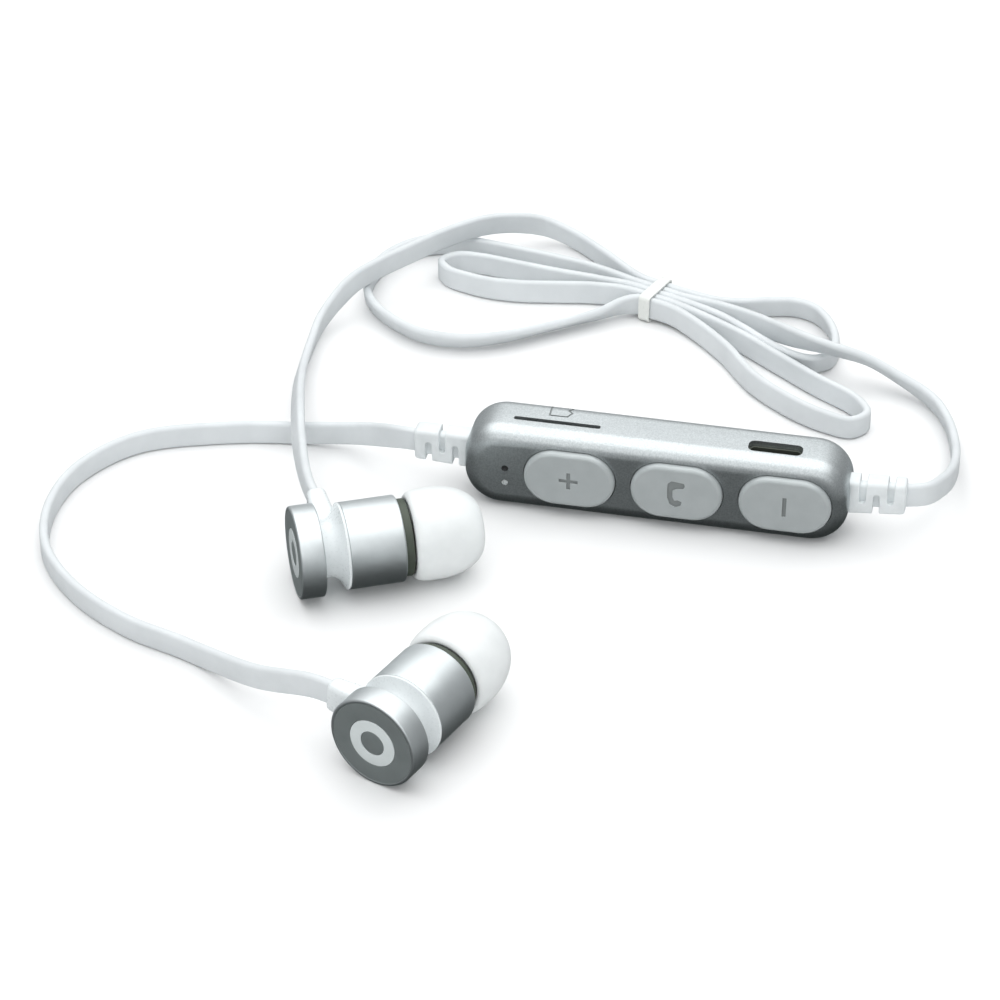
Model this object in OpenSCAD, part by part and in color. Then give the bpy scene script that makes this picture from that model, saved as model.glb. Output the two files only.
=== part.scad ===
// In-line wireless earphones: a control box, two magnetic earbuds and a flat cable tied in a bundle.
// The control box stands on its long narrow side, with its three buttons facing -Y.
// Origin: the middle of the box's resting face. X runs along the box, Z is up. Millimetres.

/* [Control box] */
// Length of the control box, end to end
box_l = 53; // [53:0.5:56]
// Depth of the control box, from the button face to the back
box_d = 9.2; // [9:0.1:10]
// Height of the control box as it stands
box_h = 12.6; // [12.4:0.1:13.4]
// Corner radius of the button face's outline
box_corner_r = 5.2; // [4.6:0.1:5.4]
// Radius of the soft edge all round
box_edge_r = 2.4; // [2:0.1:2.6]
// Wall thickness of the two shells
wall = 1; // [0.9:0.05:1]

/* [Buttons] */
// Length of a button
button_l = 12.6; // [12:0.1:13]
// Height of a button
button_h = 8.4; // [7.6:0.1:8.6]
// Distance between button centres
button_pitch = 14.8; // [14.6:0.1:15.2]
// How far a button stands out of the face
button_out = 0.85; // [0.6:0.05:1]
// Gap round each button
button_gap = 0.15; // [0.1:0.01:0.2]

/* [Earbuds] */
// Radius of the magnetic cap
cap_r = 6.25; // [6.2:0.05:6.4]
// Thickness of the cap
cap_l = 3.3; // [3:0.1:3.6]
// Radius of the metal body
body_r = 5.85; // [5.6:0.05:5.95]
// Length of the metal body
body_l = 7.5; // [7:0.1:8]
// Length of the white collar between them
collar_l = 3.4; // [3.2:0.1:3.6]
// Largest radius of the silicone tip
tip_r = 6.2; // [6:0.05:6.2]

/* [Cable] */
// Width of the flat cable
cable_w = 3.5; // [3.2:0.1:3.6]
// Thickness of the flat cable
cable_t = 1.2; // [1.1:0.05:1.2]

/* [Hidden] */
$fn = 64;

// Colours
satin_silver = [0.77, 0.80, 0.81];
key_grey = [0.68, 0.70, 0.71];
cable_white = [0.93, 0.94, 0.95];
board_green = [0.10, 0.35, 0.22];
dark_plastic = [0.22, 0.23, 0.21];
silicone_white = [0.95, 0.96, 0.96];

// The box: the shells part on the plane of the two ports
mid_z = box_h / 2;
front_y = -box_d / 2;
split_y = -0.8;
inner_front_y = front_y + wall;
call_x = 3.3;
usb_x = 16;
card_x = -14;
pinhole_x = -20.5;
mic_z = 6.6;
led_z = 4.3;
pinhole_r = 0.5;

// Ports and the parts behind them
usb_w = 7.4;
usb_t = 2.5;
usb_wall = 0.3;
usb_z = 8.1;
usb_floor_z = 8.6;
tongue_w = 3.8;
tongue_t = 0.6;
tongue_l = 2.4;
card_w = 12;
card_t = 0.8;
card_throat_w = 11.2;
card_throat_z = 2.6;
socket_w = 14.4;
socket_t = 1.6;
socket_h = 9.6;
socket_z = 1.8;

// Stack behind the button face, from front to back
flange_t = 0.4;
flange_y = inner_front_y + 0.02;
flange_lip = 0.45;
board_t = 0.8;
board_y = -2.2;
switch_t = 0.65;
switch_w = 3.6;
switch_d = 3;
plunger_r = 0.7;
plunger_gap = 0.05;
plunger_l = 0.6;
button_soft = 0.6;

// Circuit board and what it carries
board_w = box_l - 6;
board_h = box_h - 3.4;
board_corner_r = 3;
board_cut_w = 8.2;
board_cut_z = 7.9;
chip_x = card_x + 7.5;
chip_w = 5;
chip_t = 0.6;
battery_at = [-6.3, board_y + board_t + 0.2, 1.6];
battery_size = [18, 4.2, 9.4];
mic_size = [2.6, 1, 2];
led_gap = 0.05;

// Strain reliefs on the box's ends: slotted blocks round a core, rising a little towards the cable
relief_l = 7.5;
relief_w = 5.2;
relief_end_w = 4.7;
relief_t = 3;
relief_in = 1.6;
relief_rise = [0.2, 0.5];
relief_lip = 0.6;
core_w = 3.7;
core_t = 1.5;
slot_w = 0.8;
slot_past = 0.3;
slot_first = 1.65;
slot_pitch = 1.9;
slab = 0.01;

// Earbud stations, measured from the cap's face along the bud's axis
cap_wall = 1;
ring_r = 3.3;
ring_hole_r = 1.72;
ring_t = 0.3;
waist_r = 3.9;
spigot_r = 4.9;
spigot_l = 1;
magnet_r = 4;
magnet_l = 1.3;
driver_r = 3.4;
driver_l = 1.6;
driver_s = 1.6;
driver_rim_l = 1;
film_r = 4.6;
film_t = 0.3;
collar_s = cap_l;
body_s = collar_s + collar_l;
groove_s = body_s + body_l;
groove_l = 1.2;
groove_r = 5.2;
nozzle_s = groove_s + groove_l;
nozzle_l = 5.8;
nozzle_r = 2.3;
barb_r = 2.5;
barb_l = 0.8;
barb_back = 1.8;
sound_r = 1.55;
mesh_t = 0.2;
mesh_back = 0.4;
tip_gap = 0.07;
tip_s = nozzle_s + 0.15;
tip_l = 9.9;
tip_wall = 0.6;
edge = 0.25;
wire_r = 1.5;
stalk_s = collar_s + 1.55;
stalk_l = 9.5;
stalk_w = 4.4;
stalk_t = 2.9;

// Each bud: [x, y] of the cap's face, the heading of its axis, and the tilt of its cable stalk
left_bud = [-43.8, -29.2, 26, 10];
right_bud = [-24.2, -65.6, 69, 4];

// The tie round the five passes of the long cable
tie_at = [-9, 50.3];
tie_turn = -20;
tie_l = 1.8;
tie_wall = 0.33;
tie_in_w = 6.5;
tie_in_z = [0.42, 4.08];

// Cable routes: [x, y, height of the underside over the table, lean of the flat side from upright]
short_route = [
    [-29.9, -58.1, 5.1, 0], [-34, -56.5, 4.9, 0], [-42.5, -52.8, 2.2, 0], [-52.5, -47, 0, 0],
    [-63, -43.2, 0, 0], [-71.8, -37.5, 0, 0], [-78.2, -29.8, 0, 0], [-80.8, -20.5, 0, 0],
    [-79.8, -11, 0, 0], [-74, -2.2, 0, 0], [-64, 2.4, 0, 0], [-53, 4.8, 0, 0],
    [-43.5, 4.6, 1.4, 0], [-36.5, 0.5, 4.5, 0], [-32.5, 0, 4.7, 0]];
long_route = [
    // out of the box, round behind it and over the right-hand loops
    [32.5, 0, 4.95, 0], [36.4, 0.9, 5.1, 0], [38.5, 5, 4.2, 0], [39.4, 11.5, 2.2, 0], [39, 19.5, 0.4, 3],
    [37.2, 26.8, 0, 12], [34.3, 32, 0, 20], [29.4, 35.6, 0.8, 35], [24.5, 37, 2.5, 43], [18.9, 37.2, 3.6, 35],
    [14.4, 38.7, 3.5, 18], [9.7, 43, 2, 0], [5.5, 46.4, 0.9, -8], [1.1, 48.5, 0.6, -5],
    // first pass through the tie, then the wide loop on its left
    [-4.6, 50, 0.5, 0], [-8.6, 51.5, 0.5, 0], [-12.5, 52.9, 0.5, 0],
    [-18.7, 56.3, 0, 0], [-25.1, 58, 0, 0], [-31.6, 59.2, 0, 0], [-39.1, 60.4, 0, 0], [-44.2, 60.4, 0, 0],
    [-48.2, 58.2, 0, 0], [-51, 54.4, 0, 0], [-52.4, 49.6, 0, 0], [-52.2, 45, 0, -4], [-50.7, 41.4, 0, -15],
    [-47.8, 37.9, 0, -25], [-41.4, 33.9, 0, -30], [-35.3, 33.6, 0, -35], [-29.7, 35.7, 0, -40],
    [-21.9, 41.4, 0, -48], [-17, 45, 0, -40], [-13.4, 47.6, 0.4, -18], [-11.35, 48.32, 0.5, -5],
    // second pass, then the big loop on its right
    [-9.85, 47.9, 0.5, 0], [-5.9, 46.5, 0.5, 0], [-2.9, 44.6, 0.2, 6],
    [2.9, 39, 0, 10], [9, 30.9, 0, 10], [16.3, 25.2, 0, 10], [20.6, 23.2, 0, 6], [24, 22.6, 0, 2],
    [25.9, 25, 0, 0], [23.8, 28.4, 0, -6], [17.5, 32.7, 0, -8], [11, 37.6, 0, -8], [4.3, 42.6, 0, -8],
    // third pass, then the narrow loop on its left
    [-5.5, 47.7, 0.5, 0], [-9.4, 49.1, 0.5, 0], [-13.4, 50.4, 0.4, -3],
    [-17.6, 51, 0, -8], [-23.5, 50.1, 0, -8], [-29.5, 49.1, 0, -8], [-34.1, 49.1, 0, -6],
    [-37.8, 49.9, 0, -3],
    [-41, 51.2, 0, 0], [-42.6, 53.5, 0, 0], [-40.7, 55.7, 0, 0], [-36.9, 55.8, 0, 3], [-30.6, 54.8, 0, 4],
    [-24.1, 53.8, 0, 4], [-17.9, 53.1, 0, 3],
    // fourth pass, then the upright loop on its right, under the first run
    [-12.9, 51.7, 0.5, 0], [-9, 50.3, 0.5, 0], [-5.1, 48.9, 0.5, 0],
    [0.9, 46.7, 0.2, 0], [5, 44.2, 0, -3], [8.5, 41.4, 0, -5], [11.5, 39.4, 0, -12], [14.5, 38.2, 0, -20],
    [16.8, 38.1, 0, -20], [18.6, 39.5, 0, -12], [19.2, 42, 0, 0], [18.8, 45.4, 0, 8], [17.4, 49, 0, 12],
    [15.2, 51.8, 0, 12], [12.2, 53.1, 0, 12], [8, 52.5, 0, 12], [4.2, 51.3, 0, 8], [0.3, 50.6, 0.2, 3],
    // fifth pass, the long arch over the wide loop, over the short cable and into the left bud
    [-4.15, 51.3, 0.5, 0], [-8.1, 52.7, 0.5, 0], [-12.05, 54.4, 0.5, 0],
    [-18.6, 61, 0.1, 5], [-24.6, 65.9, 0.2, 8], [-29, 66.8, 1.2, 8], [-33.3, 64.3, 2.8, 5],
    [-37.9, 60.9, 3.7, 2],
    [-42.9, 55.9, 3.7, 0], [-46.9, 50.8, 3.6, 0], [-50.6, 44.9, 3.85, 0], [-53.2, 40.8, 3.5, 0],
    [-55.3, 37.4, 1.8, 2], [-56.6, 33, 0.4, 6], [-56.6, 27.8, 0, 12], [-55.9, 20, 0.5, 18],
    [-54.2, 12, 2.2, 20],
    [-52.2, 4.4, 3.8, 20], [-50.1, -2.8, 4.3, 18], [-47.4, -10.5, 5, 10], [-45.2, -15.8, 5.8, 3],
    [-43.3, -19.3, 6, 0]];
ring_step = 9;

// ---------- Helpers ----------

// A rounded rectangle in the XZ plane, from y0 towards +Y
module plate_xz(w, h, r, y0, t) {
    translate([0, y0 + t, mid_z]) rotate([90, 0, 0]) linear_extrude(t) {
        square([w - 2 * r, h], center = true);
        square([w, h - 2 * r], center = true);
        for (sx = [-1, 1], sy = [-1, 1]) translate([sx * (w / 2 - r), sy * (h / 2 - r)]) circle(r);
    }
}

// A stadium in the XZ plane centred on x, from y0 towards +Y
module stadium_xz(x, w, h, y0, t) {
    translate([x, y0 + t, mid_z]) rotate([90, 0, 0]) linear_extrude(t) {
        square([w - h, h], center = true);
        for (sx = [-1, 1]) translate([sx * (w - h) / 2, 0]) circle(h / 2);
    }
}

// The pillow-edged outside of the control box
module box_solid() {
    hull() for (sx = [-1, 1], sy = [-1, 1], sz = [-1, 1])
        translate([sx * (box_l / 2 - box_corner_r), sy * (box_d / 2 - box_edge_r),
            mid_z + sz * (box_h / 2 - box_corner_r)])
            rotate([90, 0, 0]) rotate_extrude($fn = 32)
                translate([box_corner_r - box_edge_r, 0]) circle(box_edge_r, $fn = 32);
}

// Everything that is open inside and through the two shells
module box_openings() {
    plate_xz(box_l - 2 * wall, box_h - 2 * wall, box_corner_r - wall, inner_front_y, box_d - 2 * wall);
    for (k = [-1 : 1])
        stadium_xz(call_x + k * button_pitch, button_l + 2 * button_gap, button_h + 2 * button_gap,
            front_y - 1, wall + 2);
    translate([usb_x - usb_w / 2, split_y - usb_t / 2, box_h - 2 * wall]) cube([usb_w, usb_t, 3 * wall]);
    translate([card_x - card_w / 2, split_y - card_t / 2, box_h - 2 * wall]) cube([card_w, card_t, 3 * wall]);
    for (z = [mic_z, led_z])
        translate([pinhole_x, front_y + 2 * wall, z]) rotate([90, 0, 0])
            cylinder(h = 3 * wall, r = pinhole_r);
    translate([-box_l, -relief_t / 2, mid_z - relief_w / 2]) cube([2 * box_l, relief_t, relief_w]);
}

// One half of the case, between two planes across Y
module shell(y0, y1) {
    difference() {
        intersection() {
            box_solid();
            translate([-box_l, y0, -1]) cube([2 * box_l, y1 - y0, box_h + 2]);
        }
        box_openings();
    }
}

// A button: a soft-edged stadium with a retaining flange behind the shell
module button(x) {
    back_y = flange_y + flange_t;
    tall = back_y - front_y + button_out;
    color(key_grey) union() {
        hull() for (sx = [-1, 1])
            translate([x + sx * (button_l - button_h) / 2, back_y, mid_z]) rotate([90, 0, 0])
                rotate_extrude($fn = 32) {
                    square([button_h / 2, tall - button_soft]);
                    square([button_h / 2 - button_soft, tall]);
                    translate([button_h / 2 - button_soft, tall - button_soft]) circle(button_soft, $fn = 16);
                }
        stadium_xz(x, button_l + 2 * flange_lip, button_h + 2 * flange_lip, flange_y, flange_t);
    }
}

// A low tactile switch on the front of the board, bored for its plunger
module switch_body(x) {
    color(dark_plastic) difference() {
        translate([x - switch_w / 2, board_y - switch_t, mid_z - switch_d / 2])
            cube([switch_w, switch_t, switch_d]);
        translate([x, board_y - 0.1, mid_z]) rotate([90, 0, 0])
            cylinder(h = switch_t, r = plunger_r + plunger_gap);
    }
}

// The switch's plunger, which the button pushes
module plunger(x) {
    color("black") translate([x, flange_y + flange_t + plunger_l, mid_z]) rotate([90, 0, 0])
        cylinder(h = plunger_l, r = plunger_r);
}

// A bar of the relief's outline or core, from its root at x0 to its end, which is lifted by rise
module relief_bar(x0, w0, w1, t, rise) {
    hull() {
        translate([x0, -t / 2, -w0 / 2]) cube([slab, t, w0]);
        translate([relief_l - slab, -t / 2, rise - w1 / 2]) cube([slab, t, w1]);
    }
}

// The k-th slot across the relief, open at the top (up = 1) or at the bottom (up = -1)
module relief_slot(k, up, rise) {
    x = slot_first + slot_pitch * k;
    translate([x, relief_t, rise * x / relief_l]) rotate([90, 0, 0]) linear_extrude(2 * relief_t) {
        translate([0, -up * slot_past]) circle(slot_w / 2);
        translate([-slot_w / 2, up > 0 ? -slot_past : -relief_w]) square([slot_w, relief_w + slot_past]);
    }
}

// A strain relief: side is -1 on the left end of the box and 1 on the right
module strain_relief(side) {
    rise = relief_rise[side > 0 ? 1 : 0];
    lip_w = relief_w + 2 * relief_lip;
    lip_t = relief_t + 2 * relief_lip;
    color(cable_white) translate([side * box_l / 2, 0, mid_z]) rotate([0, 0, side > 0 ? 0 : 180]) {
        difference() {
            relief_bar(0, relief_w, relief_end_w, relief_t, rise);
            for (k = [0 : 2]) relief_slot(k, side * (k == 1 ? -1 : 1), rise);
        }
        relief_bar(0, core_w, core_w, core_t, rise);
        translate([-relief_in, -relief_t / 2, -relief_w / 2]) cube([relief_in, relief_t, relief_w]);
        translate([-relief_in - relief_lip, -lip_t / 2, -lip_w / 2]) cube([relief_lip, lip_t, lip_w]);
    }
}

// Stand a bud's parts, drawn along +Z from the cap's face, on the table
module place(bud) {
    translate([bud[0], bud[1], cap_r]) rotate([0, 0, bud[2]]) rotate([0, 90, 0]) children();
}

// A ring or disc on the bud's axis
module disc(s, l, r, hole = 0) {
    translate([0, 0, s]) difference() {
        cylinder(h = l, r = r);
        if (hole > 0) translate([0, 0, -1]) cylinder(h = l + 2, r = hole);
    }
}

// ---------- Earbud parts ----------

module cap(bud) {
    color(satin_silver) place(bud) difference() {
        rotate_extrude() polygon([[0, 0], [cap_r - edge, 0], [cap_r, edge], [cap_r, cap_l], [0, cap_l]]);
        disc(cap_wall, cap_l, spigot_r);
        disc(-1, 1 + ring_t, ring_r, ring_hole_r);
    }
}

module ring(bud) {
    color(cable_white) place(bud) disc(0, ring_t, ring_r, ring_hole_r);
}

module magnet(bud) {
    color("dimgray") place(bud) disc(cap_wall, magnet_l, magnet_r);
}

module collar(bud) {
    color(cable_white) place(bud) difference() {
        union() {
            rotate_extrude() polygon(concat(
                [[0, collar_s - spigot_l], [spigot_r, collar_s - spigot_l], [spigot_r, collar_s]],
                [for (k = [0 : 6]) let (u = k / 6)
                    [waist_r + (body_r - waist_r) * pow(u, 4), collar_s + 0.2 + (collar_l - 0.4) * u]],
                [[body_r, body_s], [spigot_r, body_s]],
                [[spigot_r, body_s + spigot_l], [0, body_s + spigot_l]]));
            rotate([0, 0, bud[3]]) translate([-stalk_w / 2, 0, stalk_s - stalk_t / 2])
                cube([stalk_w, stalk_l, stalk_t]);
        }
        disc(0, groove_s, wire_r);
    }
}

module body(bud) {
    color(satin_silver) place(bud) difference() {
        rotate_extrude() polygon([[0, body_s], [body_r - edge, body_s], [body_r, body_s + edge],
            [body_r, groove_s - edge], [body_r - edge, groove_s], [0, groove_s]]);
        disc(body_s - 1, body_l + 2, spigot_r);
    }
}

module driver(bud) {
    color("silver") place(bud) {
        disc(body_s + driver_s, driver_l, driver_r);
        disc(body_s + driver_s + driver_l, driver_rim_l, spigot_r);
    }
}

module diaphragm(bud) {
    color("khaki") place(bud) disc(body_s + driver_s + driver_l + driver_rim_l, film_t, film_r);
}

module nozzle(bud) {
    color(dark_plastic) place(bud) difference() {
        union() {
            disc(groove_s - spigot_l, spigot_l, spigot_r);
            disc(groove_s, groove_l, groove_r);
            disc(nozzle_s, nozzle_l, nozzle_r);
            disc(nozzle_s + nozzle_l - barb_back, barb_l, barb_r);
        }
        disc(groove_s - 2 * spigot_l, 2 * nozzle_l, sound_r);
    }
}

module sound_mesh(bud) {
    color("gray") place(bud) disc(nozzle_s + nozzle_l - mesh_back, mesh_t, sound_r);
}

// Silicone tip: a sleeve over the nozzle that turns back into a thin dome
module ear_tip(bud) {
    bore_r = barb_r + tip_gap;
    sleeve_r = bore_r + 0.8;
    inner_r = tip_r - tip_wall;
    deep = tip_l - 2.6;
    color(silicone_white) place(bud) translate([0, 0, tip_s]) rotate_extrude() polygon(concat(
        [[bore_r, 0.3], [sleeve_r, 0.3], [sleeve_r, deep - 1]],
        [for (a = [80 : -20 : 0]) [sleeve_r + (inner_r - sleeve_r) * cos(a), deep - 3.4 + 3.4 * sin(a)]],
        [[inner_r - 0.7, 0], [tip_r - 0.8, 0], [tip_r - 0.25, 0.8], [tip_r, 2]],
        [for (a = [0 : 10 : 70]) [2.2 + (tip_r - 2.2) * cos(a), 3.4 + (tip_l - 3.4) * sin(a)]],
        [[bore_r, tip_l - 0.1], [bore_r - 0.6, tip_l - 0.6], [bore_r - 0.6, nozzle_l + 0.2],
            [bore_r, nozzle_l + 0.2]]));
}

// ---------- Control box parts ----------

module front_shell() { color(satin_silver) shell(front_y - 1, split_y); }
module rear_shell() { color(satin_silver) shell(split_y, box_d); }

module circuit_board() {
    color(board_green) difference() {
        plate_xz(board_w, board_h, board_corner_r, board_y, board_t);
        translate([usb_x - board_cut_w / 2, board_y - board_t, board_cut_z])
            cube([board_cut_w, 3 * board_t, board_h]);
    }
}

module bluetooth_chip() {
    color("black") translate([chip_x, board_y - chip_t, mid_z - chip_w / 2]) cube([chip_w, chip_t, chip_w]);
}

module battery() {
    color("silver") translate(battery_at) cube(battery_size);
}

module card_socket() {
    color("silver") difference() {
        translate([card_x - socket_w / 2, board_y + board_t, socket_z]) cube([socket_w, socket_t, socket_h]);
        translate([card_x - card_throat_w / 2, split_y - card_t / 2, card_throat_z])
            cube([card_throat_w, card_t, socket_h]);
    }
}

module usb_socket() {
    color("silver") difference() {
        translate([usb_x - usb_w / 2, split_y - usb_t / 2, usb_z]) cube([usb_w, usb_t, box_h - wall - usb_z]);
        translate([usb_x - usb_w / 2 + usb_wall, split_y - usb_t / 2 + usb_wall, usb_floor_z])
            cube([usb_w - 2 * usb_wall, usb_t - 2 * usb_wall, box_h]);
    }
}

module usb_tongue() {
    color("black") translate([usb_x - tongue_w / 2, split_y - tongue_t / 2, usb_floor_z])
        cube([tongue_w, tongue_t, tongue_l]);
}

module microphone() {
    color("gold") translate([pinhole_x - mic_size[0] / 2, board_y - mic_size[1], mic_z - mic_size[2] / 2])
        cube(mic_size);
}

module status_led() {
    color("lightblue") translate([pinhole_x, board_y, led_z]) rotate([90, 0, 0])
        cylinder(h = board_y - front_y, r = pinhole_r - led_gap);
}

// ---------- Cable ----------

function mix(a, b, ta, tb, t) = a + (b - a) * (t - ta) / (tb - ta);
function xyz(p) = [p[0], p[1], p[2]];
function unit(v) = v / norm(v);
function knot_gap(a, b) = sqrt(norm(xyz(a) - xyz(b)));

// A centripetal Catmull-Rom curve through b and c, at fraction u between them
function curve(a, b, c, d, u) = let (t1 = knot_gap(a, b), t2 = t1 + knot_gap(b, c), t3 = t2 + knot_gap(c, d),
    t = t1 + (t2 - t1) * u, ab = mix(a, b, 0, t1, t), bc = mix(b, c, t1, t2, t), cd = mix(c, d, t2, t3, t))
    mix(mix(ab, bc, 0, t2, t), mix(bc, cd, t1, t3, t), t1, t2, t);

// The route with one more point past each end
function extended(r) = concat([2 * r[0] - r[1]], r, [2 * r[len(r) - 1] - r[len(r) - 2]]);

// The cable's centre and lean at every ring
function centres(r) = let (q = extended(r)) [
    for (i = [1 : len(q) - 3]) let (n = max(1, round(norm(xyz(q[i + 1]) - xyz(q[i])) / ring_step)))
        for (k = [0 : (i == len(q) - 3 ? n : n - 1)])
            let (p = curve(q[i - 1], q[i], q[i + 1], q[i + 2], k / n))
            [p[0], p[1], max(p[2], 0) + cable_w / 2 * abs(cos(p[3])) + cable_t / 2 * abs(sin(p[3])), p[3]]];

// The eight corners of the flat cable's section, as [across the width, across the thickness]
section = [for (p = [[1, 0.45], [0.78, 1], [-0.78, 1], [-1, 0.45], [-1, -0.45], [-0.78, -1], [0.78, -1],
    [1, -0.45]]) [p[0] * cable_w / 2, p[1] * cable_t / 2]];

// One ring of corners round a centre, square to the run of the cable
function ring_points(c, i) = let (
    run = unit(xyz(c[min(i + 1, len(c) - 1)]) - xyz(c[max(i - 1, 0)])),
    side = unit([-run[1], run[0], 0]), up = cross(run, side), a = c[i][3],
    wide = cos(a) * up + sin(a) * side, thick = cos(a) * side - sin(a) * up)
    [for (p = section) xyz(c[i]) + p[0] * wide + p[1] * thick];

module flat_cable(route) {
    c = centres(route);
    m = len(section);
    n = len(c);
    color(cable_white) polyhedron(
        points = [for (i = [0 : n - 1]) each ring_points(c, i)],
        faces = concat([[for (j = [0 : m - 1]) j]], [[for (j = [m - 1 : -1 : 0]) (n - 1) * m + j]],
            [for (i = [0 : n - 2], j = [0 : m - 1]) let (k = (j + 1) % m)
                each [[i * m + j, (i + 1) * m + j, (i + 1) * m + k],
                    [i * m + j, (i + 1) * m + k, i * m + k]]]));
}

module cable_tie() {
    tall = tie_in_z[1] - tie_in_z[0];
    color([0.85, 0.88, 0.88]) translate([tie_at[0], tie_at[1], tie_in_z[0]]) rotate([0, 0, tie_turn])
        difference() {
            translate([-tie_l / 2, -tie_in_w / 2 - tie_wall, -tie_wall])
                cube([tie_l, tie_in_w + 2 * tie_wall, tall + 2 * tie_wall]);
            translate([-tie_l, -tie_in_w / 2, 0]) cube([2 * tie_l, tie_in_w, tall]);
        }
}

// ---------- Nodes ----------

front_shell();
rear_shell();
button(call_x - button_pitch);  // plus_button
button(call_x);  // call_button
button(call_x + button_pitch);  // minus_button
switch_body(call_x - button_pitch);  // plus_switch
switch_body(call_x);  // call_switch
switch_body(call_x + button_pitch);  // minus_switch
plunger(call_x - button_pitch);  // plus_plunger
plunger(call_x);  // call_plunger
plunger(call_x + button_pitch);  // minus_plunger
circuit_board();
bluetooth_chip();
battery();
card_socket();
usb_socket();
usb_tongue();
microphone();
status_led();
strain_relief(-1);  // left_strain_relief
strain_relief(1);  // right_strain_relief
flat_cable(short_route);  // short_cable
flat_cable(long_route);  // long_cable
cable_tie();
cap(left_bud);  // left_cap
ring(left_bud);  // left_ring
magnet(left_bud);  // left_magnet
collar(left_bud);  // left_collar
body(left_bud);  // left_body
driver(left_bud);  // left_driver
diaphragm(left_bud);  // left_diaphragm
nozzle(left_bud);  // left_nozzle
sound_mesh(left_bud);  // left_mesh
ear_tip(left_bud);  // left_ear_tip
cap(right_bud);  // right_cap
ring(right_bud);  // right_ring
magnet(right_bud);  // right_magnet
collar(right_bud);  // right_collar
body(right_bud);  // right_body
driver(right_bud);  // right_driver
diaphragm(right_bud);  // right_diaphragm
nozzle(right_bud);  // right_nozzle
sound_mesh(right_bud);  // right_mesh
ear_tip(right_bud);  // right_ear_tip
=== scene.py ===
import bpy
import math
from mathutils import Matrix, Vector


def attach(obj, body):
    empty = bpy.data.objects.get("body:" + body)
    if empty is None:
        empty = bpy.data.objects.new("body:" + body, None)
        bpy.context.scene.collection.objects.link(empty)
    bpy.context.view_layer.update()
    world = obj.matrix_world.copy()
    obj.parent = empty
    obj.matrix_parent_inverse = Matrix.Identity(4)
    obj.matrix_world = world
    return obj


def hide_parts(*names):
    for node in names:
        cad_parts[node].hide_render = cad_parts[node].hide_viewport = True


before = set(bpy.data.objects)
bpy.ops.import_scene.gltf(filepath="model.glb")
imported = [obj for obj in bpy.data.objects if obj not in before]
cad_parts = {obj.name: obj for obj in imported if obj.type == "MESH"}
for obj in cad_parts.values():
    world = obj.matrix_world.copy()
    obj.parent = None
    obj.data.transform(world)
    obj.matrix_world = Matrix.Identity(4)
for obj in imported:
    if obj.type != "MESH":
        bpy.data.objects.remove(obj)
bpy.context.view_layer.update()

# Lengths are in millimetres in this script, and MM turns them into metres for the frame.
MM = 0.001

# ---------- Driving dimensions, as in the CAD model ----------

BOX_L, BOX_D, BOX_H = 53.0, 9.2, 12.6
CORNER_R = 5.2
EDGE_R = 2.4
MERGE = 0.06
WALL = 1.0
MID_Z = BOX_H / 2
FRONT_Y = -BOX_D / 2
SPLIT_Y = -0.8

BUTTON_L, BUTTON_H, BUTTON_PITCH = 12.6, 8.4, 14.8
BUTTON_OUT = 0.85
BUTTON_GAP = 0.15
CALL_X = 3.3
USB_X, USB_W, USB_T = 16.0, 7.4, 2.5
USB_CORNER_R, USB_DEEP, USB_SHEET, USB_IN = 0.9, 4.3, 0.3, 0.8
CARD_X, CARD_W, CARD_T = -14.0, 12.0, 0.8
CARD_CORNER_R = 0.3
PINHOLE_X, PINHOLE_R = -20.5, 0.5
MIC_Z, LED_Z = 6.6, 4.3

RELIEF_L, RELIEF_W, RELIEF_END_W, RELIEF_T = 7.5, 5.2, 4.7, 3.0
RELIEF_RISE = {-1: 0.2, 1: 0.5}
RELIEF_IN = 1.2
CORE_W, CORE_T = 3.7, 1.5
SLOT_W, SLOT_PAST, SLOT_FIRST, SLOT_PITCH = 0.8, 0.3, 1.65, 1.9
SLOT_FLARE = 0.12

CAP_R, CAP_L = 6.25, 3.3
CAP_SEAT_R, CAP_SEAT_L = 4.4, 0.9
RING_R, RING_HOLE_R = 3.3, 1.72
COLLAR_L, COLLAR_PLUG_R, WAIST_R = 3.4, 4.5, 3.9
SPIGOT_R, SPIGOT_L = 4.9, 1
BODY_R, BODY_L = 5.85, 7.5
GROOVE_R, GROOVE_L = 5.2, 1.2
TIP_R, TIP_L = 6.2, 9.9
COLLAR_S = CAP_L
BODY_S = COLLAR_S + COLLAR_L
GROOVE_S = BODY_S + BODY_L
NOZZLE_S = GROOVE_S + GROOVE_L
NOZZLE_L, NOZZLE_R = 5.8, 2.3
BARB_R, BARB_L, BARB_BACK = 2.5, 0.8, 1.8
SOUND_R = 1.55
TIP_S = NOZZLE_S + 0.15
TIP_BORE_R = 2.57
TIP_SLEEVE_T, TIP_WALL = 0.8, 0.6
AXIS_R = 0.01
STALK_S, STALK_L, STALK_W, STALK_T = COLLAR_S + 1.55, 9.5, 4.4, 2.9

CABLE_W, CABLE_T, CABLE_EDGE_R = 3.5, 1.2, 0.52

# Each bud: x and y of the cap's face, heading of its axis, tilt of its cable stalk
BUDS = {"left": (-43.8, -29.2, 26.0, 10.0), "right": (-24.2, -65.6, 69.0, 4.0)}

TIE_AT, TIE_TURN = (-9.0, 50.3), -20.0
TIE_L, TIE_IN_W, TIE_WALL = 1.8, 6.5, 0.33
TIE_Z = (0.42, 4.08)

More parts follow.
